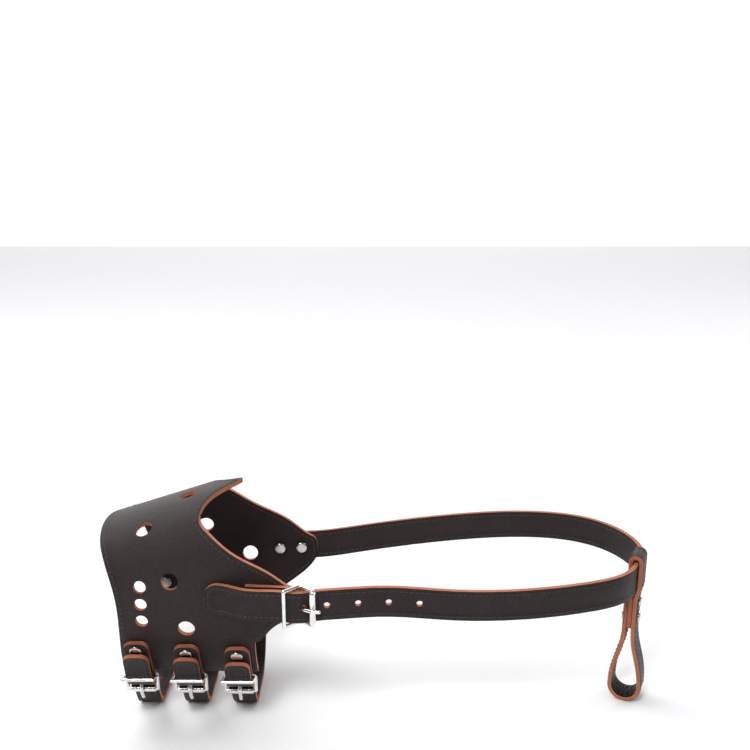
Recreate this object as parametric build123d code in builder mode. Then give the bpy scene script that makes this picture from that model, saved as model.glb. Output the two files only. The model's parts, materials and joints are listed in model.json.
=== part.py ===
"""Leather basket muzzle: a punched wrap, a neck strap, three chin straps and a hanger loop.

Frame: +X runs from the nose to the neck, -Y is the buckle side, +Z is up.
The origin is under the middle of the whole object, at the level it rests on.
Sizes are in millimetres.
"""
from build123d import *
from math import sin, cos, radians, degrees
import os

os.makedirs("parts", exist_ok=True)

# --- leather ---
ply = 1.4                     # one layer of leather
leather = 2 * ply             # every part of the harness is two layers
strap_width = 20.0            # neck strap
chin_width = 16.0             # chin straps
far_gap = 0.4                 # chin straps lie this far off the far wall
wing_gap = 0.9                # the neck strap lies this far off the far wing
lean = 1.3                    # the cheek wings lean in by this much across the neck strap
taper = 0.9                   # the walls spread by this much across a chin strap

# --- muzzle wrap ---
mid_y = 1.9                   # middle plane of the muzzle, off the middle of the whole
muzzle_length = 141.0         # nose end of the bridge to the wing tips
front_x = -186.9              # nose end of the bridge
wing_x = front_x + muzzle_length
bridge_front_z = 126.0        # top of the bridge at the nose end
bridge_rear_z = 171.0         # the bridge line carried back to the wing tips
turns = (0, 20, 80, 110, 124)             # the arch turns through these angles, bridge to lower edge
front_radii = (64.0, 33.0, 95.0, 56.0)    # arc radii of the arch at the nose end
rear_radii = (76.0, 43.5, 157.0, 71.0)    # arc radii of the arch at the wing tips
arch_steps = 14               # places that shape each half of the arch
overrun = 4.0                 # the raw arch runs past both ends before it is trimmed
wrap_run = wing_x - front_x + 2 * overrun
wrap_steps = 6                # lengths that the arch is lofted in, end to end

trough_x = wing_x - 68.8      # rear rim, lowest place each side of the bridge tab
trough_z = 142.0
trough_y = 30.0
tab_reach = 24.0              # bridge tab stands this far behind the troughs
tab_half = 11.0
lower_edge_x = wing_x - 34.0  # rear rim below the wings

# Rear rim over and under each cheek wing: distance in front of the wing tips, height.
# The buckled wing is drawn up by its strap and the far wing sags.
near_wing = ([(64, 137), (55, 131.5), (42, 124), (21, 114), (6, 106), (0, 95)],
             [(0, 95), (5, 87.5), (15, 82.5), (24, 75), (31, 66), (34, 48)])
far_wing = ([(64, 134.5), (55, 125.5), (42, 115.5), (21, 103), (6, 91), (0, 79)],
            [(0, 79), (3, 71), (9, 65), (19, 58), (30, 52), (34, 44)])

big_hole = 10.8               # air hole diameters
small_hole = 8.0


def arch_radii(x):
    """Arc radii of the outer skin at a distance along the muzzle."""
    share = (x - front_x) / (wing_x - front_x)
    return [a + (b - a) * share for a, b in zip(front_radii, rear_radii)]


def bridge_z(x):
    """Height of the bridge line."""
    return bridge_front_z + (bridge_rear_z - bridge_front_z) * (x - front_x) / (wing_x - front_x)


def arch_point(x, turn, inset=0.0):
    """Place on the arch (y from the middle plane, z), inset from the outer skin."""
    side = -1 if turn < 0 else 1
    y = 0.0
    z = bridge_z(x) - inset
    for radius, start, end in zip(arch_radii(x), turns, turns[1:]):
        reach = min(abs(turn), end)
        if reach > start:
            y += (radius - inset) * (sin(radians(reach)) - sin(radians(start)))
            z -= (radius - inset) * (cos(radians(start)) - cos(radians(reach)))
    return side * y, z


def station(x):
    """Cross plane: local x is +Y from the middle plane, local y is +Z."""
    return Plane(origin=(x, mid_y, 0), x_dir=(0, 1, 0), z_dir=(1, 0, 0))


def skin_line(x, inset):
    """Smooth line of the arch from one lower edge over the bridge to the other."""
    half = [turns[-1] * count / arch_steps for count in range(1, arch_steps + 1)]
    places = [-turn for turn in reversed(half)] + [0] + half
    return Spline([arch_point(x, turn, inset) for turn in places])


def arch_section(x, outer, inner):
    """Closed cross section of one ply of the wrap."""
    with BuildSketch(station(x)) as section:
        with BuildLine():
            skin = skin_line(x, outer)
            back = skin_line(x, inner)
            Line(skin @ 0, back @ 0)
            Line(skin @ 1, back @ 1)
        make_face()
    return section.sketch


def hole_plane(x, turn):
    """Plane on the outer skin, facing straight out of the leather."""
    y, z = arch_point(x, turn)
    out = (0, sin(radians(turn)), cos(radians(turn)))
    return Plane(origin=(x, mid_y + y, z), x_dir=(1, 0, 0), z_dir=out)


# Air holes: distance in front of the wing tips, turn from the bridge, diameter.
air_holes = [(81.0, 0, big_hole), (130.0, 22, big_hole), (73.5, 15, big_hole)]
air_holes += [(85.4, -82, big_hole), (76.5, -98, big_hole), (49.0, -91, big_hole)]
air_holes += [(80.0, 85, big_hole), (76.5, 98, big_hole), (49.0, 98, big_hole)]
for hand in (-1, 1):
    air_holes += [(105.0, hand * 25, big_hole)]
    air_holes += [(104.7, hand * turn, small_hole) for turn in (82, 88, 94)]


def wrap_ply(outer, inner):
    """One ply of the wrap, trimmed to its rims and punched."""
    with BuildPart() as raw:
        for step in range(wrap_steps + 1):
            add(arch_section(front_x - overrun + step * wrap_run / wrap_steps, outer, inner))
        loft(ruled=True)
        # The nose rim, seen from the side: forward at the bridge, back at the cheeks.
        with BuildSketch(Plane(origin=(0, mid_y, 0), x_dir=(1, 0, 0), z_dir=(0, -1, 0))):
            with BuildLine():
                rim = Spline((front_x + 3, 170), (front_x + 3.4, 128), (front_x + 9.4, 120),
                             (front_x + 18.6, 100), (front_x + 21, 72), (front_x + 19.6, 30))
                Polyline(rim @ 1, (front_x - 20, 30), (front_x - 20, 170), rim @ 0)
            make_face()
        extrude(amount=100, both=True, mode=Mode.SUBTRACT)
        # The rear rim below the troughs: up over each cheek wing, then forward under it.
        for hand, (over_rim, under_rim) in ((-1, near_wing), (1, far_wing)):
            with BuildSketch(Plane(origin=(0, mid_y, 0), x_dir=(1, 0, 0), z_dir=(0, -1, 0))):
                with BuildLine():
                    over = Spline((trough_x, trough_z), *[(wing_x - back, z) for back, z in over_rim],
                                  tangents=[(0.2, -1), (0, -1)])
                    under = Spline([(wing_x - back, z) for back, z in under_rim],
                                   tangents=[(0, -1), (0, -1)])
                    Polyline(under @ 1, (lower_edge_x, 30), (wing_x + 30, 30), (wing_x + 30, trough_z),
                             over @ 0)
                make_face()
            extrude(amount=-hand * 100, mode=Mode.SUBTRACT)
        # The rear rim above the troughs: the rounded bridge tab, seen from above.
        with BuildSketch(Plane.XY.offset(trough_z)):
            with BuildLine():
                rim = Spline((trough_x, mid_y - trough_y), (trough_x + 1, mid_y - trough_y * 0.75),
                             (trough_x + tab_reach * 0.45, mid_y - tab_half * 0.8),
                             (trough_x + tab_reach, mid_y),
                             (trough_x + tab_reach * 0.45, mid_y + tab_half * 0.8),
                             (trough_x + 1, mid_y + trough_y * 0.75), (trough_x, mid_y + trough_y),
                             tangents=[(0, 1), (0, 1)])
                Polyline(rim @ 1, (trough_x, 90), (wing_x + 30, 90), (wing_x + 30, -90),
                         (trough_x, -90), rim @ 0)
            make_face()
        extrude(amount=80, mode=Mode.SUBTRACT)
        for back, turn, size in air_holes:
            with BuildSketch(hole_plane(wing_x - back, turn)):
                Circle(size / 2)
            extrude(amount=3 * leather, both=True, mode=Mode.SUBTRACT)
    return raw.part


# --- rivets ---
shank_radius = 1.6
shank_gap = 0.05
rivet_head = 3.9              # head radius
head_height = 1.3

# --- buckles ---
wire = 1.2                    # radius of the buckle wire and of the centre bar
roller_radius = 2.1
roller_bore_gap = 0.06
prong_radius = 1.15
eye_radius = 2.5              # prong eye round the centre bar
eye_gap = 0.06
arm = 8.5                     # centre bar to roller, and to keeper bar, along the strap
side_gap = 0.6                # strap edge to buckle side
fold_gap = 0.4                # room for the centre bar inside the chape's fold
head_gap = 0.3                # a flat head stands this far off curved leather

# Offsets from the leather under a buckle, in the order of the stack.
inner_leg = 0.2 + ply / 2
bar_off = 0.2 + ply + fold_gap + wire
fold_radius = bar_off - inner_leg
outer_leg = inner_leg + ply + 0.1
tongue_off = outer_leg + ply / 2 + head_gap + head_height + 1.0 + leather / 2
over_bar = bar_off + fold_radius + ply / 2 + 0.4 + leather / 2
under_roller = 5.0
roller_off = under_roller + leather / 2 + 0.3 + roller_radius
keeper_off = tongue_off + leather / 2 + 1.6 + wire
tip_off = roller_off + roller_radius + prong_radius + 0.25

# --- neck strap ---
near_z = 98.5                 # height of the strap where it is buckled
far_z = 81.5                  # height of the strap on the far wing
hanger_z = 93.5               # height of the strap in the eye of the hanger loop
far_turn = 98                 # turn of the arch where the strap lies on the far wing
neck_bar_x = wing_x - 3.5
loop_length = 216.0           # wing tips to the hanger loop
loop_far = 65.0               # reach of the strap loop from the middle plane, far side
loop_near = 53.0              # the same, near side
neck_chape_length = 34.0
neck_tongue_length = 60.0
strap_hole = 4.0
strap_hole_pitch = 19.0
strap_hole_count = 4

# The loop's bends: share of the loop's length, share of its reach, height, lean outwards in degrees.
far_bends = [(0.148, 0.91, 85, 6), (0.479, 1.0, 91.5, 3), (0.734, 0.954, 95, 1), (0.896, 0.77, 96, 0),
             (0.988, 0.508, 95, 0)]
near_bends = [(0.928, 0.594, 93.2, 0), (0.826, 0.774, 93, 0), (0.641, 0.925, 92.5, 0),
              (0.41, 0.972, 93.2, 0), (0.225, 1.0, 96.5, 0)]

# --- chin straps ---
# Place along the muzzle, length of the chape, length of the tongue through the buckle.
chin_places = {"front": (wing_x - 110, 31.0, 25.0), "middle": (wing_x - 78, 29.5, 23.5),
               "rear": (wing_x - 45.5, 28.5, 20.5)}
bar_below = 0.5               # centre bars hang this far below the lower edge
flat_near = -17.0             # the chin straps lie flat on the table between these
flat_far = 11.0
flat_z = leather / 2 + 0.65   # height there; beside the buckle the strap bows down to the table

# --- hanger loop ---
hanger_width = 16.0
hanger_y = -10.0              # from the middle plane
hanger_turn = 25.0            # the strap runs this far off the Y axis where the hanger loop hangs
clamp_top = hanger_z - strap_width / 2 - 4
clamp_bottom = clamp_top - 24
drop_half = 9.6               # half width of the teardrop
hanger_gap = 0.5


def leaf(plane, points, width, thick):
    """Leather strip of one thickness along a smooth path in a plane."""
    with BuildPart() as strip:
        with BuildLine(plane) as path:
            Spline(*points)
        with BuildSketch(Plane(origin=path.line @ 0, x_dir=plane.z_dir, z_dir=path.line % 0)):
            Rectangle(width, thick)
        sweep()
    return strip.part


def rounded_end(plane, end, before, width, radius):
    """Cutter that rounds the two corners of a strip's end. The strip runs from before to end."""
    tip = plane.from_local_coords(Vector(*end))
    way = (tip - plane.from_local_coords(Vector(*before))).normalized()
    with BuildPart() as cutter:
        with BuildSketch(Plane(origin=tip, x_dir=way, z_dir=way.cross(plane.z_dir))):
            Rectangle(2 * radius, width + 2)
            with Locations((-3 * radius, 0)):
                RectangleRounded(6 * radius, width, radius, mode=Mode.SUBTRACT)
        extrude(amount=2 * leather, both=True)
    return cutter.part


def rivet(plane, inner, outer):
    """Rivet along a plane's normal, domed at both ends. Inner and outer are leather faces."""
    inner -= head_gap
    outer += head_gap
    with BuildPart() as fastener:
        with BuildSketch(plane.offset(inner)):
            Circle(shank_radius)
        extrude(amount=outer - inner)
        for level, way in ((outer, 1), (inner, -1)):
            with BuildSketch(plane.offset(level)):
                Circle(rivet_head)
            extrude(amount=way * head_height)
            face = fastener.faces().sort_by(Axis(plane.origin, plane.z_dir))[-1 if way > 0 else 0]
            fillet(face.edges(), head_height * 0.75)
    return fastener.part


def rivet_bore(plane):
    """Hole that a rivet shank passes through."""
    with BuildPart() as bore:
        with BuildSketch(plane):
            Circle(shank_radius + shank_gap)
        extrude(amount=4 * leather, both=True)
    return bore.part


def bar_between(plane, centre, reach, radius):
    """Round bar across a buckle, with its middle at a place in the buckle's plane."""
    with BuildPart() as bar:
        with BuildSketch(plane.offset(-reach)):
            with Locations(centre):
                Circle(radius)
        extrude(amount=2 * reach)
    return bar.part


def buckle_frame(plane, at, width):
    """Bent wire frame: front bar, centre bar and raised keeper bar between two sides."""
    side = width / 2 + side_gap + wire
    corners = [at(-arm, roller_off), at(0, bar_off), at(arm, keeper_off)]
    with BuildPart() as frame:
        for centre in corners:
            add(bar_between(plane, centre, side, wire))
        for hand in (-1, 1):
            with BuildLine(plane.offset(hand * side)) as rail:
                FilletPolyline(*corners, radius=2.5)
            with BuildSketch(Plane(origin=rail.line @ 0, z_dir=rail.line % 0)):
                Circle(wire)
            sweep()
            for centre in (corners[0], corners[2]):
                with Locations(plane.offset(hand * side).from_local_coords(Vector(*centre))):
                    Sphere(wire)
    return frame.part


def buckle_roller(plane, at, width):
    """Tube that turns on the front bar."""
    reach = width / 2 + side_gap - 0.35
    with BuildPart() as tube:
        add(bar_between(plane, at(-arm, roller_off), reach, roller_radius))
        add(bar_between(plane, at(-arm, roller_off), reach, wire + roller_bore_gap), mode=Mode.SUBTRACT)
    return tube.part


def buckle_prong(plane, at):
    """Round prong with an eye on the centre bar, up through the strap and over the roller."""
    with BuildPart() as pin:
        with BuildLine(plane) as path:
            FilletPolyline(at(-1.1, bar_off + 1.7), at(-3.9, tip_off - 1.6), at(-arm, tip_off),
                           at(-arm - 4.5, tip_off + 0.2), radius=2.0)
        with BuildSketch(Plane(origin=path.line @ 0, z_dir=path.line % 0)):
            Circle(prong_radius)
        sweep()
        with Locations(path.line @ 1):
            Sphere(prong_radius)
        add(bar_between(plane, at(0, bar_off), prong_radius + 0.15, eye_radius))
        add(bar_between(plane, at(0, bar_off), 2 * leather, wire + eye_gap), mode=Mode.SUBTRACT)
    return pin.part


def prong_hole(plane, at):
    """Hole in a strap where the prong comes through."""
    with BuildPart() as hole:
        with BuildLine(plane) as path:
            Line(at(-0.4, bar_off + 0.6), at(-4.6, tip_off - 0.2))
        with BuildSketch(Plane(origin=path.line @ 0, z_dir=path.line % 0)):
            Circle(strap_hole / 2)
        sweep()
    return hole.part


def chape(plane, at, width, length):
    """Tab folded round the centre bar, slotted for the prong, with both legs on the leather."""
    bar = Vector(*at(0, bar_off))
    inner = Vector(*at(0, inner_leg))
    fold = bar - (Vector(*at(1, inner_leg)) - inner).normalized() * fold_radius
    with BuildPart() as tab:
        add(leaf(plane, [at(length, inner_leg), at(length * 0.66, inner_leg),
                         at(length * 0.33, inner_leg), at(3, inner_leg), (inner.X, inner.Y),
                         (fold.X, fold.Y), at(0, bar_off + fold_radius), at(4, outer_leg + 2.2),
                         at(8, outer_leg + 0.4), at(11, outer_leg), at(length * 0.66, outer_leg),
                         at(length, outer_leg)], width, ply))
        with BuildSketch(plane.offset(-prong_radius - 0.45)):
            with Locations((bar.X, bar.Y)):
                Circle(eye_radius + 1.4)
        extrude(amount=2 * prong_radius + 0.9, mode=Mode.SUBTRACT)
    return tab.part


def near_turn(x, s):
    """Turn of the near wall at a distance up from its lower edge."""
    radii = arch_radii(x)
    curl = radii[3] * radians(turns[4] - turns[3])
    if s > curl:
        return turns[3] - degrees((s - curl) / radii[2])
    return turns[4] - degrees(max(s, 0) / radii[3])


def walk(x, s, off):
    """Place by distance up the near wall from its lower edge, offset out of the leather."""
    turn = near_turn(x, s)
    y, z = arch_point(x, -turn, -off)
    drop = min(s, 0)
    return y + drop * cos(radians(turn)), z + drop * sin(radians(turn))


def keep(name, solids, cuts=()):
    """Join the solids of one node, make its holes and write it out."""
    with BuildPart() as piece:
        for solid in solids:
            add(solid)
        for cut in cuts:
            add(cut, mode=Mode.SUBTRACT)
    piece.part.label = name
    export_step(piece.part, f"parts/{name}.step")


def buckle_set(place, plane, at, width):
    """The three metal pieces of a buckle."""
    keep(f"{place}_buckle_frame", [buckle_frame(plane, at, width)])
    keep(f"{place}_buckle_roller", [buckle_roller(plane, at, width)])
    keep(f"{place}_buckle_prong", [buckle_prong(plane, at)])


wall_bores = []

# --- neck strap, its chape and buckle ---
near_wall = arch_point(neck_bar_x, 91)[0]
near_slope = (near_wall - arch_point(neck_bar_x - 50, 91)[0]) / 50
along_wall = Vector(-1, near_slope, 0).normalized()
neck_plane = Plane(origin=(neck_bar_x, mid_y - near_wall, near_z), x_dir=along_wall, z_dir=(0, 0, 1))
out_of_wall = neck_plane.y_dir


def neck_at(s, off):
    """Place by distance along the near wing from the centre bar, offset out of the leather."""
    return s, off


def neck_place(s, off):
    """The same place on the strap's path, with no lean."""
    return neck_plane.from_local_coords(Vector(s, off, 0)), 0


def loop_bend(share, reach, z, tilt):
    """One bend of the strap's loop. Reach is from the middle plane."""
    return Vector(wing_x + share * loop_length, mid_y + reach, z), tilt


far_wall = [(Vector(x, mid_y + arch_point(x, far_turn)[0] + wing_gap + leather / 2, far_z), far_turn - 90)
            for x in (wing_x - 36, wing_x - 18, wing_x)]
far_run = [loop_bend(share, reach * loop_far, z, tilt) for share, reach, z, tilt in far_bends]
near_run = [loop_bend(share, -reach * loop_near, z, tilt) for share, reach, z, tilt in near_bends]
hanger_at = Vector(wing_x + loop_length, mid_y + hanger_y, hanger_z)
hanger_way = Vector(sin(radians(hanger_turn)), cos(radians(hanger_turn)), 0)
apex = [(hanger_at + hanger_way * reach, 0) for reach in (12, 0, -12)]
through_buckle = [neck_place(s, off) for s, off in
                  ((-22, 1.5), (-arm, under_roller), (0, over_bar), (12, tongue_off),
                   (neck_chape_length, tongue_off - 0.2), (neck_chape_length + 12, 2.8),
                   (neck_tongue_length, 2.8))]
course = far_wall + far_run + apex + near_run + through_buckle
with BuildPart() as strap:
    with BuildLine() as path:
        Spline(*[spot for spot, tilt in course])
    strap_line = path.edges()[0]
    upright = Spline(*[spot + Vector(0, sin(radians(tilt)), cos(radians(tilt))) * 2 * strap_width
                       for spot, tilt in course])
    with BuildSketch(Plane(origin=strap_line @ 0, x_dir=(upright @ 0) - (strap_line @ 0),
                           z_dir=strap_line % 0)):
        Rectangle(strap_width, leather)
    sweep(binormal=upright)
strap_ends = [rounded_end(neck_plane, (neck_tongue_length, 2.8), (neck_chape_length, 2.8),
                          strap_width, strap_width * 0.42),
              rounded_end(Plane.XY.offset(far_z), (far_wall[0][0].X, far_wall[0][0].Y),
                          (far_wall[1][0].X, far_wall[1][0].Y), strap_width, strap_width * 0.3)]

far_rivets = [Plane(origin=(wing_x - back, mid_y + arch_point(wing_x - back, far_turn)[0], far_z),
                    x_dir=(1, near_slope, 0),
                    z_dir=(-near_slope, sin(radians(far_turn)), cos(radians(far_turn))))
              for back in (27.5, 12)]
strap_holes = [prong_hole(neck_plane, neck_at)]
near_half = [strap_line @ (0.5 + count / 1000) for count in range(500)]
for count in range(strap_hole_count):
    hole_x = neck_bar_x + 16 + count * strap_hole_pitch
    hole_at = min(near_half, key=lambda spot: abs(spot.X - hole_x))
    with BuildPart() as punched:
        with BuildSketch(Plane(origin=hole_at, z_dir=(0, -1, 0))):
            Circle(strap_hole / 2)
        extrude(amount=2 * leather, both=True)
    strap_holes.append(punched.part)
keep("neck_strap", [strap.part], strap_ends + strap_holes + [rivet_bore(spot) for spot in far_rivets])
keep("neck_strap_rivets", [rivet(spot, -leather - lean, wing_gap + leather) for spot in far_rivets])
wall_bores += far_rivets

chape_rivets = [Plane(origin=neck_plane.from_local_coords(Vector(s, 0, 0)), x_dir=along_wall,
                      z_dir=out_of_wall) for s in (17, 28)]
tab = chape(neck_plane, neck_at, strap_width, neck_chape_length)
keep("neck_chape", [tab], [rivet_bore(spot) for spot in chape_rivets])
keep("neck_chape_rivets", [rivet(spot, -leather - lean, outer_leg + ply / 2) for spot in chape_rivets])
wall_bores += chape_rivets
buckle_set("neck", neck_plane, neck_at, strap_width)

# --- chin straps, their chapes and buckles ---
for place, (x, chape_length, tongue_length) in chin_places.items():
    plane = station(x)
    wide_x = x + chin_width / 2

    def chin_at(s, off, wide_x=wide_x):
        """Place by distance up the near wall from the centre bar, offset out of the leather."""
        return walk(wide_x, s - bar_below, off)

    far_side = [arch_point(wide_x, turn, -far_gap - leather / 2) for turn in (101, 107, 113, 119, 124)]
    under = [(flat_far + 12, 9), (flat_far, flat_z), ((flat_far + flat_near) / 2, flat_z),
             (flat_near, flat_z)]
    tongue_end = chin_at(tongue_length, tongue_off)
    strap = leaf(plane, far_side + under + [chin_at(-arm, under_roller), chin_at(0, over_bar),
                                            chin_at(10, tongue_off), tongue_end], chin_width, leather)
    strap_ends = [rounded_end(plane, tongue_end, chin_at(10, tongue_off), chin_width, chin_width * 0.36),
                  rounded_end(plane, far_side[0], far_side[1], chin_width, chin_width * 0.36)]
    chin_rivets = [hole_plane(x, turn) for turn in (105, 113)]
    holes = [prong_hole(plane, chin_at)]
    for y in (flat_near + 6, flat_far - 6):
        with BuildPart() as punched:
            with BuildSketch(Plane(origin=(x, mid_y + y, 0))):
                Circle(strap_hole / 2)
            extrude(amount=2 * leather, both=True)
        holes.append(punched.part)
    keep(f"chin_strap_{place}", [strap], strap_ends + holes + [rivet_bore(spot) for spot in chin_rivets])
    keep(f"chin_strap_rivets_{place}",
         [rivet(spot, -leather, far_gap + leather + taper) for spot in chin_rivets])
    wall_bores += chin_rivets

    tab = chape(plane, chin_at, chin_width, chape_length)
    tab_end = rounded_end(plane, chin_at(chape_length, outer_leg), chin_at(chape_length - 6, outer_leg),
                          chin_width, chin_width * 0.36)
    chape_rivets = []
    for s in (14.5, chape_length - 5.5):
        turn = near_turn(wide_x, s - bar_below)
        y, z = walk(wide_x, s - bar_below, 0)
        chape_rivets.append(Plane(origin=(x, mid_y + y, z), x_dir=(1, 0, 0),
                                  z_dir=(0, -sin(radians(turn)), cos(radians(turn)))))
    keep(f"chin_chape_{place}", [tab], [tab_end] + [rivet_bore(spot) for spot in chape_rivets])
    keep(f"chin_chape_rivets_{place}",
         [rivet(spot, -leather - taper, outer_leg + ply / 2) for spot in chape_rivets])
    wall_bores += chape_rivets
    buckle_set(f"chin_{place}", plane, chin_at, chin_width)

# --- wrap ---
bores = [rivet_bore(spot) for spot in wall_bores]
keep("muzzle_skin", [wrap_ply(0, ply)], bores)
keep("muzzle_lining", [wrap_ply(ply, leather)], bores)

# --- hanger loop ---
hanger_plane = Plane(origin=(hanger_at.X, hanger_at.Y, 0), x_dir=(hanger_way.Y, -hanger_way.X, 0),
                     z_dir=-hanger_way)
eye_half = leather + hanger_gap
layer = leather + 0.1
middle = -layer / 2
drop_level = drop_half + leather / 2
drop_ease = (clamp_bottom - drop_level) * 0.45
strap_top = hanger_z + strap_width / 2
strap_foot = hanger_z - strap_width / 2
with BuildPart() as hanger_loop:
    with BuildLine(hanger_plane) as path:
        Line((middle, clamp_bottom), (middle, clamp_top - 3))
        Bezier((middle, clamp_top - 3), (middle, clamp_top), (-eye_half, strap_foot - 2),
               (-eye_half, strap_foot + 2))
        Line((-eye_half, strap_foot + 2), (-eye_half, strap_top + hanger_gap))
        ThreePointArc((-eye_half, strap_top + hanger_gap), (0, strap_top + hanger_gap + eye_half),
                      (eye_half, strap_top + hanger_gap))
        Line((eye_half, strap_top + hanger_gap), (eye_half, strap_foot + 2))
        Bezier((eye_half, strap_foot + 2), (eye_half, strap_foot - 2), (middle + layer, clamp_top),
               (middle + layer, clamp_top - 3))
        Line((middle + layer, clamp_top - 3), (middle + layer, clamp_bottom))
        Bezier((middle + layer, clamp_bottom), (middle + layer, clamp_bottom - drop_ease),
               (middle + drop_half, drop_level + drop_ease), (middle + drop_half, drop_level))
        ThreePointArc((middle + drop_half, drop_level), (middle, leather / 2),
                      (middle - drop_half, drop_level))
        Bezier((middle - drop_half, drop_level), (middle - drop_half, drop_level + drop_ease),
               (middle - layer, clamp_bottom - drop_ease), (middle - layer, clamp_bottom))
        Line((middle - layer, clamp_bottom), (middle - layer, clamp_top))
    for run in path.edges():
        with BuildSketch(Plane(origin=run @ 0, x_dir=hanger_plane.z_dir, z_dir=run % 0)):
            Rectangle(hanger_width, leather)
        sweep(path=run)
clamp_rivets = [Plane(origin=hanger_plane.from_local_coords(Vector(middle, z, 0)), x_dir=hanger_way,
                      z_dir=hanger_plane.x_dir) for z in (clamp_top - 6, clamp_bottom + 6)]
keep("hanger_loop", [hanger_loop.part], [rivet_bore(spot) for spot in clamp_rivets])
stack = layer + leather / 2
keep("hanger_loop_rivets", [rivet(spot, -stack, stack) for spot in clamp_rivets])
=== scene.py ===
"""Leather basket muzzle: the looks of its leather, thread and metal, and a pale stage for it."""

import json
from math import atan2, cos, pi, radians, sin

import bmesh
import bpy
from bpy.props import FloatProperty, FloatVectorProperty, PointerProperty
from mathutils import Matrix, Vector
from mathutils.bvhtree import BVHTree
from mathutils.kdtree import KDTree

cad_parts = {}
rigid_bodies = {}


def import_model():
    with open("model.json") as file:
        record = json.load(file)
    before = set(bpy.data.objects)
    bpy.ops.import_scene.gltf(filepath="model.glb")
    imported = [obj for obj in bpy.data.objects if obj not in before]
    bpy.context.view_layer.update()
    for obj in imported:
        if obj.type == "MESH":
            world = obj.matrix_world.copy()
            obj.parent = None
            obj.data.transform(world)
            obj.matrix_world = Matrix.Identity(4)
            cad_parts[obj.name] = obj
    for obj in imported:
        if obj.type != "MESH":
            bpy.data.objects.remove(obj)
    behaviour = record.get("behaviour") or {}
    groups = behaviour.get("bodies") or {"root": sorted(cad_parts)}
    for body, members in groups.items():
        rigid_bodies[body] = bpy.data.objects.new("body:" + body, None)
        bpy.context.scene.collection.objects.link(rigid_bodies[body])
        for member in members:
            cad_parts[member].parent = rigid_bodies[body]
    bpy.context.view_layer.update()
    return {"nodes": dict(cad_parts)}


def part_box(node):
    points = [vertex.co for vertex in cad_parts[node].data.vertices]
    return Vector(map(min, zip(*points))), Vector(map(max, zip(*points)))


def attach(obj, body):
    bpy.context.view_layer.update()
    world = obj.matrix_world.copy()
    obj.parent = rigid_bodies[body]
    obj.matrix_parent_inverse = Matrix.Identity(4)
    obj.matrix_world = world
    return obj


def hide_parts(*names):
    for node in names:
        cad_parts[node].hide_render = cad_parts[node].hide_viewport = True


bl_info = {
    "name": "Leather basket muzzle",
    "version": (1, 0, 0),
    "blender": (4, 5, 0),
    "location": "View3D > Sidebar > Muzzle",
    "description": "Leather, thread and metal of a basket muzzle, piece by piece",
    "category": "Object",
}

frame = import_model()
MM = 0.001
MERGE = 0.004 * MM                  # corners of a CAD mesh closer than this are one point
BROAD_BEND = radians(32)            # faces of one side bend less than this into each other
EDGE_BEND = radians(40)             # sharper edges are rounded on leather and kept on metal
CUT, INSIDE, OUTSIDE = 2, 1, 0      # places of the three leathers in a piece's materials

# The hanger's large fold: which way it faces, and the heights between which it is creased.
HANGER_TURN = radians(25)
FOLD_ASIDE = Vector((cos(HANGER_TURN), -sin(HANGER_TURN), 0))
FOLD_HEIGHT = 11 * MM
CREASE_LOW = 3 * MM
CREASE_HIGH = 14 * MM

CHINS = ("front", "middle", "rear")
STRAPS = ["neck_strap"] + ["chin_strap_" + place for place in CHINS]
CHAPES = ["neck_chape"] + ["chin_chape_" + place for place in CHINS]
RIVETS = (["neck_strap_rivets", "neck_chape_rivets"] + ["chin_strap_rivets_" + place for place in CHINS]
          + ["chin_chape_rivets_" + place for place in CHINS])
BUCKLES = ["neck"] + ["chin_" + place for place in CHINS]


# --- sizes and colours ---

class LeatherSizes(bpy.types.PropertyGroup):
    grain: FloatProperty(name="Grain", description="Size of one grain cell in the leather",
                         default=0.75 * MM, unit="LENGTH")
    edge_round: FloatProperty(name="Edge rounding", description="Radius rubbed onto cut edges",
                              default=0.35 * MM, unit="LENGTH")
    brown: FloatVectorProperty(name="Brown", description="Grain side", subtype="COLOR",
                               default=(0.0115, 0.0042, 0.0038), min=0, max=1)
    bloom: FloatVectorProperty(name="Bloom", description="Lighter patches of the grain side",
                               subtype="COLOR", default=(0.021, 0.0085, 0.0080), min=0, max=1)
    lining: FloatVectorProperty(name="Lining", description="Smooth inner side", subtype="COLOR",
                                default=(0.0150, 0.0065, 0.0062), min=0, max=1)
    cut: FloatVectorProperty(name="Cut edge", description="Raw leather at the cut edges",
                             subtype="COLOR", default=(0.52, 0.19, 0.10), min=0, max=1)
    cut_dark: FloatVectorProperty(name="Cut edge, dark", description="Darker fibres of the cut edges",
                                  subtype="COLOR", default=(0.24, 0.058, 0.028), min=0, max=1)


class ThreadSizes(bpy.types.PropertyGroup):
    pitch: FloatProperty(name="Stitch pitch", description="From one stitch to the next",
                         default=3.3 * MM, unit="LENGTH")
    length: FloatProperty(name="Stitch length", description="Length of one stitch on the surface",
                          default=2.5 * MM, unit="LENGTH")
    radius: FloatProperty(name="Thread radius", description="Half the thickness of the thread",
                          default=0.38 * MM, unit="LENGTH")
    inset: FloatProperty(name="Row inset", description="From the cut edge to the row of stitches",
                         default=2.6 * MM, unit="LENGTH")
    clear: FloatProperty(name="Clear of edges", description="Nearest a stitch comes to any edge",
                         default=2.6 * 0.82 * MM, unit="LENGTH")
    shortest: FloatProperty(name="Shortest rim", description="Rims shorter than this are not sewn",
                            default=60 * MM, unit="LENGTH")
    colour: FloatVectorProperty(name="Thread", description="Waxed thread", subtype="COLOR",
                                default=(0.024, 0.016, 0.015), min=0, max=1)


class MetalSizes(bpy.types.PropertyGroup):
    nickel: FloatVectorProperty(name="Buckles", description="Polished nickel", subtype="COLOR",
                                default=(0.80, 0.79, 0.77), min=0, max=1)
    rivet: FloatVectorProperty(name="Rivets", description="Aged nickel", subtype="COLOR",
                               default=(0.56, 0.53, 0.49), min=0, max=1)


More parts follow.
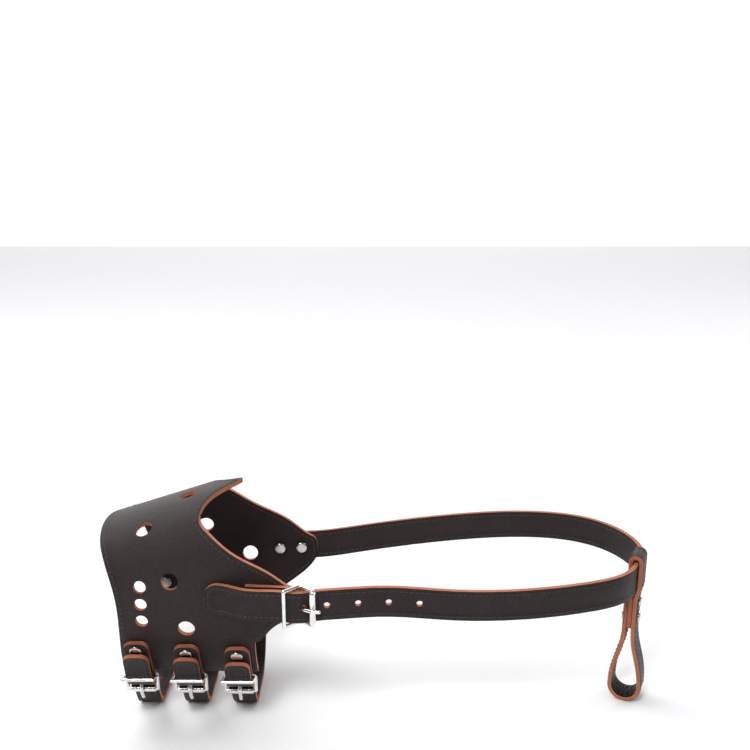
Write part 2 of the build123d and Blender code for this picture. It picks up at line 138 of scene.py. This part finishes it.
class StageSizes(bpy.types.PropertyGroup):
    lens: FloatProperty(name="Lens", description="Focal length for a 36 mm sensor", default=43.2)
    tilt: FloatProperty(name="Tilt", description="Camera's angle down from level",
                        default=radians(15.5), subtype="ANGLE")
    distance: FloatProperty(name="Distance", description="Camera in front of the middle",
                            default=0.5491, unit="LENGTH")
    aside: FloatProperty(name="Aside", description="Camera to the neck side of the middle",
                         default=-3.9 * MM, unit="LENGTH")
    height: FloatProperty(name="Height", description="Camera above the floor", default=0.3795,
                          unit="LENGTH")
    ambient: FloatProperty(name="Ambient", description="Strength of the even light all round",
                           default=0.2)
    spread: FloatProperty(name="Spread", description="Side of the floor and of the bright wall",
                          default=16, unit="LENGTH")
    wall: FloatProperty(name="Wall", description="Bright wall behind the middle", default=2.4,
                        unit="LENGTH")
    floor: FloatVectorProperty(name="Floor", description="Pale floor", subtype="COLOR",
                               default=(0.86, 0.86, 0.87), min=0, max=1)


class MuzzleSizes(bpy.types.PropertyGroup):
    leather: PointerProperty(name="Leather", description="Leather of every piece", type=LeatherSizes)
    thread: PointerProperty(name="Thread", description="Rows of stitches", type=ThreadSizes)
    metal: PointerProperty(name="Metal", description="Buckles and rivets", type=MetalSizes)
    stage: PointerProperty(name="Stage", description="Floor, lights and camera", type=StageSizes)


# --- finishes ---

class Value:
    """A shader value that takes arithmetic, so that sums are written as they are meant."""

    def __init__(self, finish, socket):
        self.finish = finish
        self.socket = socket

    def maths(self, operation, first, second=0.0, clamp=False):
        return self.finish.maths(operation, first, second, clamp)

    def __add__(self, other):
        return self.maths("ADD", self, other)

    def __radd__(self, other):
        return self.maths("ADD", other, self)

    def __sub__(self, other):
        return self.maths("SUBTRACT", self, other)

    def __rsub__(self, other):
        return self.maths("SUBTRACT", other, self)

    def __mul__(self, other):
        return self.maths("MULTIPLY", self, other)

    def __rmul__(self, other):
        return self.maths("MULTIPLY", other, self)

    def above(self, low, high):
        """0 below low, 1 above high, straight between."""
        return self.maths("MULTIPLY", self - low, 1 / (high - low), clamp=True)

    def distance_from(self, middle):
        return self.maths("ABSOLUTE", self - middle)


class Finish:
    """One material and its nodes."""

    def __init__(self, name, **constants):
        self.material = bpy.data.materials.new(name)
        self.material.use_nodes = True
        self.tree = self.material.node_tree
        self.surface = self.tree.nodes["Principled BSDF"]
        for name, value in constants.items():
            socket = name.replace("_", " ").title().replace("Ior", "IOR")
            self.surface.inputs[socket].default_value = value
        self.place = self.node("ShaderNodeTexCoord").outputs["Object"]

    def node(self, kind, settings=None, inputs=None):
        node = self.tree.nodes.new(kind)
        for name, value in (settings or {}).items():
            setattr(node, name, value)
        for name, value in (inputs or {}).items():
            self.feed(node.inputs[name], value)
        return node

    def maths(self, operation, first, second=0.0, clamp=False):
        node = self.node("ShaderNodeMath", {"operation": operation, "use_clamp": clamp},
                         {0: first, 1: second})
        return Value(self, node.outputs[0])

    def feed(self, socket, value):
        if isinstance(value, Value):
            value = value.socket
        if isinstance(value, bpy.types.NodeSocket):
            self.tree.links.new(value, socket)
        else:
            socket.default_value = value

    def noise(self, scale, detail=3.0, rough=0.55):
        node = self.node("ShaderNodeTexNoise", {}, {"Vector": self.place, "Scale": scale,
                                                   "Detail": detail, "Roughness": rough})
        return Value(self, node.outputs["Fac"])

    def cells(self, scale, feature="F1"):
        node = self.node("ShaderNodeTexVoronoi", {"feature": feature},
                         {"Vector": self.place, "Scale": scale})
        return Value(self, node.outputs["Distance"])

    def attribute(self, name):
        node = self.node("ShaderNodeAttribute", {"attribute_name": name})
        return Value(self, node.outputs["Fac"])

    def blend(self, factor, first, second):
        node = self.node("ShaderNodeMix", {"data_type": "RGBA"})
        self.feed(node.inputs["Factor"], factor)
        self.feed(node.inputs[6], first)
        self.feed(node.inputs[7], second)
        return node.outputs[2]

    def colour(self, value):
        self.feed(self.surface.inputs["Base Color"], value)

    def roughness(self, value):
        self.feed(self.surface.inputs["Roughness"], value)

    def relief(self, height, distance, strength=1.0):
        bump = self.node("ShaderNodeBump", {}, {"Height": height, "Distance": distance,
                                               "Strength": strength})
        self.feed(self.surface.inputs["Normal"], bump.outputs["Normal"])


def rgba(colour):
    return (*colour, 1.0)


def brown_leather(sizes):
    """Grained, waxed grain side."""
    finish = Finish("brown_leather", specular_ior_level=0.36)
    grain = finish.cells(1 / sizes.grain)
    fine = finish.noise(1.6 / sizes.grain, 4.0, 0.6)
    patches = finish.noise(38.0, 4.0, 0.6)
    pebble = grain.above(0.05, 0.75) * 0.8 + fine * 0.5
    finish.colour(finish.blend(patches.above(0.35, 0.7) * 0.5 + (1 - grain.above(0.2, 0.7)) * 0.3,
                               rgba(sizes.brown), rgba(sizes.bloom)))
    finish.roughness(0.34 + patches * 0.08 + grain.above(0.2, 0.8) * 0.08)
    folds = finish.maths("SINE", finish.attribute("along") * 26.0 + finish.noise(180.0, 1.0) * 5.0)
    creased = finish.attribute("crease") * (folds * 4.0)
    finish.relief(pebble * -1.0 + finish.noise(240.0, 2.0) * 0.8 + creased, 0.5 * MM, 1.0)
    return finish.material


def lining_leather(sizes):
    """Smooth inner side with a faint pull of the fibres."""
    finish = Finish("lining_leather", specular_ior_level=0.25)
    patches = finish.noise(60.0, 4.0)
    finish.colour(finish.blend(patches.above(0.35, 0.75) * 0.5, rgba(sizes.lining), rgba(sizes.brown)))
    finish.roughness(0.46 + patches * 0.16)
    finish.relief(finish.noise(1500.0, 3.0) + finish.cells(700.0) * 0.5, 0.08 * MM, 0.6)
    return finish.material


def cut_leather(sizes):
    """Raw cut edge, with the glue line between the two plies."""
    finish = Finish("cut_edge", specular_ior_level=0.35)
    fibres = finish.noise(1800.0, 4.0, 0.7)
    stains = finish.noise(160.0, 3.0)
    ply = finish.attribute("ply")
    glue = 1 - ply.distance_from(0.5).above(0.03, 0.12)
    rim = ply.distance_from(0.5).above(0.40, 0.50)
    raw = finish.blend(fibres.above(0.3, 0.7) * 0.55 + stains.above(0.4, 0.7) * 0.25,
                       rgba(sizes.cut), rgba(sizes.cut_dark))
    finish.colour(finish.blend(glue * 0.55 + rim * 0.35, raw, rgba(sizes.cut_dark)))
    finish.roughness(0.52 + fibres * 0.25)
    finish.relief(fibres + glue * -1.2, 0.12 * MM, 0.7)
    return finish.material


def waxed_thread(sizes):
    finish = Finish("waxed_thread", specular_ior_level=0.6)
    twist = finish.noise(2600.0, 2.0)
    finish.colour(finish.blend(twist * 0.6, rgba(sizes.colour), (0.035, 0.026, 0.024, 1.0)))
    finish.roughness(0.28 + twist * 0.2)
    return finish.material


def plated(name, colour, shine, wear):
    """Plated metal with fine handling marks and slight tarnish."""
    finish = Finish(name, metallic=1.0)
    marks = finish.noise(900.0, 5.0, 0.7)
    tarnish = finish.noise(220.0, 3.0).above(0.45, 0.75)
    darker = rgba([part * 0.62 for part in colour])
    finish.colour(finish.blend(tarnish * wear, rgba(colour), darker))
    finish.roughness(shine + marks * 0.08 + tarnish * wear * 0.2)
    finish.relief(marks, 0.02 * MM, 0.4)
    return finish.material


FINISHES = {}


def finish_of(name, maker, *sizes):
    """Each finish is made once."""
    if name not in FINISHES:
        FINISHES[name] = maker(*sizes)
    return FINISHES[name]


def leather_finishes():
    sizes = bpy.context.scene.muzzle.leather
    return [finish_of("brown", brown_leather, sizes), finish_of("lining", lining_leather, sizes),
            finish_of("cut", cut_leather, sizes)]


# --- working with pieces ---

def only(piece):
    """Deselect everything but one piece and make it the active one."""
    bpy.ops.object.select_all(action="DESELECT")
    piece.select_set(True)
    bpy.context.view_layer.objects.active = piece


def worked_copy(node, name):
    """Copy of a CAD node, free of its body, with its triangles merged into one skin."""
    only(frame["nodes"][node])
    bpy.ops.object.duplicate()
    piece = bpy.context.active_object
    bpy.ops.object.parent_clear(type="CLEAR")
    for key in list(piece.keys()):
        del piece[key]
    piece.name = name
    piece.data.name = name
    piece.data.materials.clear()
    bpy.ops.object.mode_set(mode="EDIT")
    bpy.ops.mesh.select_all(action="SELECT")
    bpy.ops.mesh.remove_doubles(threshold=MERGE)
    bpy.ops.object.mode_set(mode="OBJECT")
    return piece


def broad_faces(mesh):
    """Groups of faces that run smoothly into each other, largest first."""
    seen = set()
    groups = []
    for face in mesh.faces:
        if face.index in seen:
            continue
        group = [face]
        seen.add(face.index)
        for member in group:
            for edge in member.edges:
                if len(edge.link_faces) == 2 and edge.calc_face_angle(pi) < BROAD_BEND:
                    for other in edge.link_faces:
                        if other.index not in seen:
                            seen.add(other.index)
                            group.append(other)
        groups.append(group)
    return sorted(groups, key=lambda faces: -sum(face.calc_area() for face in faces))


def rim_loops(group):
    """Closed rows of points round a group of faces, each with its way into the group."""
    members = set(group)
    onward = {}
    for face in group:
        for loop in face.loops:
            across = [other for other in loop.edge.link_faces if other is not face]
            if not across or across[0] not in members:
                onward[loop.vert] = (loop.link_loop_next.vert, face)
    rows = []
    while onward:
        start = next(iter(onward))
        row = []
        vert = start
        while vert in onward:
            after, face = onward.pop(vert)
            way = (after.co - vert.co).normalized()
            row.append((vert.co.copy(), way, face.normal.cross(way)))
            vert = after
        rows.append(row)
    return rows


def steps(row):
    """Each point of a closed row with the point after it."""
    return zip(row, row[1:] + row[:1])


def row_length(row):
    return sum((after[0] - before[0]).length for before, after in steps(row))


def stitches_round(group, thread):
    """Places of the stitches along a group's long rims: middle, way along, way out."""
    corners = [tuple(vert.co) for face in group for vert in face.verts]
    side = BVHTree.FromPolygons(corners, [(3 * n, 3 * n + 1, 3 * n + 2) for n in range(len(group))])
    rows = rim_loops(group)
    rims = [before[0].lerp(after[0], share) for row in rows for before, after in steps(row)
            for share in (0, 0.25, 0.5, 0.75)]
    edges = KDTree(len(rims))
    for number, spot in enumerate(rims):
        edges.insert(spot, number)
    edges.balance()
    found = []
    for row in rows:
        total = row_length(row)
        if total <= thread.shortest:
            continue
        pitch = total / max(int(total / thread.pitch), 3)
        travelled = 0.0
        due = pitch / 2
        for before, after in steps(row):
            span = (after[0] - before[0]).length
            while span > 0 and due <= travelled + span:
                spot = before[0].lerp(after[0], (due - travelled) / span) + before[2] * thread.inset
                ground, out, index, gap = side.find_nearest(spot)
                if edges.find(ground)[2] > thread.clear:
                    found.append((ground, before[1], out))
                due += pitch
            travelled += span
    return found


def sew(name, places, body):
    """One mesh of stitches. Each is a short, fat thread lying along its row, half sunk in."""
    thread = bpy.context.scene.muzzle.thread
    bpy.ops.object.select_all(action="DESELECT")
    bpy.ops.mesh.primitive_uv_sphere_add(segments=6, ring_count=5, radius=1)
    piece = bpy.context.active_object
    piece.name = name
    bead = [vert.co.copy() for vert in piece.data.vertices]
    skin = [tuple(face.vertices) for face in piece.data.polygons]
    points = []
    faces = []
    for spot, way, out in places:
        along = (way - out * way.dot(out)).normalized()
        across = along.cross(out)
        base = len(points)
        for place in bead:
            points.append(spot + along * place.z * thread.length / 2
                          + (across * place.x + out * place.y) * thread.radius)
        faces += [tuple(base + corner for corner in face) for face in skin]
    mesh = bpy.data.meshes.new(name)
    mesh.from_pydata(points, [], faces)
    piece.data = mesh
    only(piece)
    bpy.ops.object.mode_set(mode="EDIT")
    bpy.ops.mesh.select_all(action="SELECT")
    bpy.ops.mesh.normals_make_consistent(inside=False)
    bpy.ops.object.mode_set(mode="OBJECT")
    bpy.ops.object.shade_smooth()
    mesh.materials.append(finish_of("thread", waxed_thread, thread))
    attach(piece, body)


def dress(node, body, inside=False, sewn=(True, True), plies=(0.0, 1.0)):
    """Leather piece from a CAD node: grain side, inner side and cut edges, rounded and stitched.

    Plies says where the outer and the inner side lie in the thickness of the whole leather.
    """
    piece = worked_copy(node, node + "_leather")
    mesh = bmesh.new()
    mesh.from_mesh(piece.data)
    mesh.faces.ensure_lookup_table()
    ply = mesh.verts.layers.float.new("ply")
    groups = broad_faces(mesh)
    if len(groups) < 2:
        raise RuntimeError(f"{node} has no outer and inner side to tell apart")
    for face in mesh.faces:
        face.material_index = CUT
        face.smooth = True
    places = []
    for number, group in enumerate(groups[:2]):
        for face in group:
            face.material_index = INSIDE if inside else OUTSIDE
            for vert in face.verts:
                vert[ply] = plies[number]
        if sewn[number]:
            places += stitches_round(group, bpy.context.scene.muzzle.thread)
    mesh.to_mesh(piece.data)
    mesh.free()
    for material in leather_finishes():
        piece.data.materials.append(material)
    only(piece)
    worn = piece.modifiers.new("worn_edges", "BEVEL")
    worn.width = bpy.context.scene.muzzle.leather.edge_round
    worn.segments = 2
    worn.limit_method = "ANGLE"
    worn.angle_limit = EDGE_BEND
    worn.harden_normals = True
    bpy.ops.object.modifier_apply(modifier=worn.name)
    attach(piece, body)
    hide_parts(node)
    if places:
        sew(node + "_stitches", places, body)
    return piece


def crease(piece, centre):
    """Marks where the hanger's leather is creased, and how far round the fold each point is."""
    along = piece.data.attributes.new("along", "FLOAT", "POINT")
    depth = piece.data.attributes.new("crease", "FLOAT", "POINT")
    for vert in piece.data.vertices:
        rise = vert.co.z - centre.z
        aside = (vert.co - centre).dot(FOLD_ASIDE)
        along.data[vert.index].value = atan2(aside, -rise)
        share = (CREASE_HIGH - vert.co.z) / (CREASE_HIGH - CREASE_LOW)
        depth.data[vert.index].value = min(max(share, 0), 1)


def polish(node, body, material):
    """Metal piece from a CAD node, smoothed."""
    piece = worked_copy(node, node + "_metal")
    only(piece)
    bpy.ops.object.shade_smooth_by_angle(angle=EDGE_BEND)
    piece.data.materials.append(material)
    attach(piece, body)
    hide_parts(node)


# --- the stage ---

# Soft lights: name, place, degrees about X and about Y, side of the square, watts.
LIGHTS = (
    ("key", (-0.9, 0.5, 1.6), -18, -28, 1.2, 15),
    ("front", (-0.36, -0.82, 1.1), 38, -12, 0.36, 11),
    ("fill", (1.4, 0.6, 1.2), -20, 48, 1.0, 8),
)


def backdrop(name, place, turn, finish):
    """Large flat sheet of the stage."""
    bpy.ops.object.select_all(action="DESELECT")
    spread = bpy.context.scene.muzzle.stage.spread
    bpy.ops.mesh.primitive_plane_add(size=spread, location=place, rotation=turn)
    sheet = bpy.context.active_object
    sheet.name = name
    sheet.data.materials.append(finish.material)


# --- operators, one for each group of like pieces ---

class MUZZLE_OT_wrap(bpy.types.Operator):
    """Punched wrap: the grained skin outside, the smooth lining inside"""
    bl_idname = "muzzle.wrap"
    bl_label = "Muzzle wrap"

    def execute(self, context):
        dress("muzzle_skin", "harness", sewn=(True, False), plies=(0.0, 0.5))
        dress("muzzle_lining", "harness", inside=True, sewn=(False, True), plies=(0.5, 1.0))
        return {"FINISHED"}


class MUZZLE_OT_straps(bpy.types.Operator):
    """Neck strap and the three chin straps"""
    bl_idname = "muzzle.straps"
    bl_label = "Straps"

    def execute(self, context):
        for node in STRAPS:
            dress(node, "harness")
        return {"FINISHED"}


class MUZZLE_OT_chapes(bpy.types.Operator):
    """Folded tabs that hold the buckles"""
    bl_idname = "muzzle.chapes"
    bl_label = "Chapes"

    def execute(self, context):
        for node in CHAPES:
            dress(node, "harness", sewn=(False, False), plies=(0.05, 0.3))
        return {"FINISHED"}


class MUZZLE_OT_hanger(bpy.types.Operator):
    """Hanger loop on the neck strap"""
    bl_idname = "muzzle.hanger"
    bl_label = "Hanger loop"

    def execute(self, context):
        piece = dress("hanger_loop", "hanger")
        low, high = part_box("hanger_loop")
        crease(piece, Vector([(low[0] + high[0]) / 2, (low[1] + high[1]) / 2, FOLD_HEIGHT]))
        return {"FINISHED"}


class MUZZLE_OT_buckles(bpy.types.Operator):
    """Four buckles: frames, rollers and prongs"""
    bl_idname = "muzzle.buckles"
    bl_label = "Buckles"

    def execute(self, context):
        colour = context.scene.muzzle.metal.nickel
        nickel = finish_of("nickel", plated, "polished_nickel", colour, 0.12, 0.25)
        for place in BUCKLES:
            for part in ("frame", "roller", "prong"):
                polish(f"{place}_buckle_{part}", f"{place}_{part}", nickel)
        return {"FINISHED"}


class MUZZLE_OT_rivets(bpy.types.Operator):
    """Domed rivets"""
    bl_idname = "muzzle.rivets"
    bl_label = "Rivets"

    def execute(self, context):
        colour = context.scene.muzzle.metal.rivet
        aged = finish_of("rivet", plated, "aged_nickel", colour, 0.16, 0.5)
        for node in RIVETS:
            polish(node, "harness", aged)
        polish("hanger_loop_rivets", "hanger", aged)
        return {"FINISHED"}


class MUZZLE_OT_stage(bpy.types.Operator):
    """Pale floor, soft lights and the camera"""
    bl_idname = "muzzle.stage"
    bl_label = "Stage"

    def execute(self, context):
        sizes = context.scene.muzzle.stage
        pale = Finish("pale_floor", roughness=0.6, specular_ior_level=0.25)
        pale.colour(rgba(sizes.floor))
        backdrop("floor", (0, 0, 0), (0, 0, 0), pale)
        glow = Finish("light_wall", base_color=(0.9, 0.9, 0.9, 1.0),
                      emission_color=(1.0, 1.0, 1.0, 1.0), emission_strength=1.0)
        backdrop("light_wall", (0, sizes.wall, 0), (radians(90), 0, 0), glow)
        world = context.scene.world or bpy.data.worlds.new("studio")
        context.scene.world = world
        world.use_nodes = True
        sky = world.node_tree.nodes["Background"]
        sky.inputs["Color"].default_value = (0.95, 0.97, 1.0, 1.0)
        sky.inputs["Strength"].default_value = sizes.ambient
        for name, place, pitch, roll, size, power in LIGHTS:
            bpy.ops.object.light_add(type="AREA", location=place,
                                     rotation=(radians(pitch), radians(roll), 0))
            light = context.active_object
            light.name = name
            light.data.size = size
            light.data.energy = power
        bpy.ops.object.camera_add(location=(sizes.aside, -sizes.distance, sizes.height),
                                  rotation=(radians(90) - sizes.tilt, 0, 0))
        camera = context.active_object
        camera.data.sensor_width = 36
        camera.data.lens = sizes.lens
        context.scene.camera = camera
        context.scene.view_settings.view_transform = "Standard"
        return {"FINISHED"}


class MUZZLE_PT_pieces(bpy.types.Panel):
    """Pieces of the muzzle"""
    bl_idname = "MUZZLE_PT_pieces"
    bl_label = "Basket muzzle"
    bl_space_type = "VIEW_3D"
    bl_region_type = "UI"
    bl_category = "Muzzle"

    def draw(self, context):
        for operator in OPERATORS:
            self.layout.operator(operator.bl_idname)
        for group in (context.scene.muzzle.leather, context.scene.muzzle.thread,
                      context.scene.muzzle.metal, context.scene.muzzle.stage):
            box = self.layout.box()
            for name in group.__annotations__:
                box.prop(group, name)


OPERATORS = (MUZZLE_OT_wrap, MUZZLE_OT_straps, MUZZLE_OT_chapes, MUZZLE_OT_hanger, MUZZLE_OT_buckles,
             MUZZLE_OT_rivets, MUZZLE_OT_stage)
CLASSES = (LeatherSizes, ThreadSizes, MetalSizes, StageSizes, MuzzleSizes, *OPERATORS, MUZZLE_PT_pieces)


def register():
    for kind in CLASSES:
        bpy.utils.register_class(kind)
    bpy.types.Scene.muzzle = PointerProperty(type=MuzzleSizes)


def unregister():
    del bpy.types.Scene.muzzle
    for kind in reversed(CLASSES):
        bpy.utils.unregister_class(kind)


def main():
    register()
    for operator in OPERATORS:
        area, name = operator.bl_idname.split(".")
        getattr(getattr(bpy.ops, area), name)()


if __name__ == "__main__":
    main()
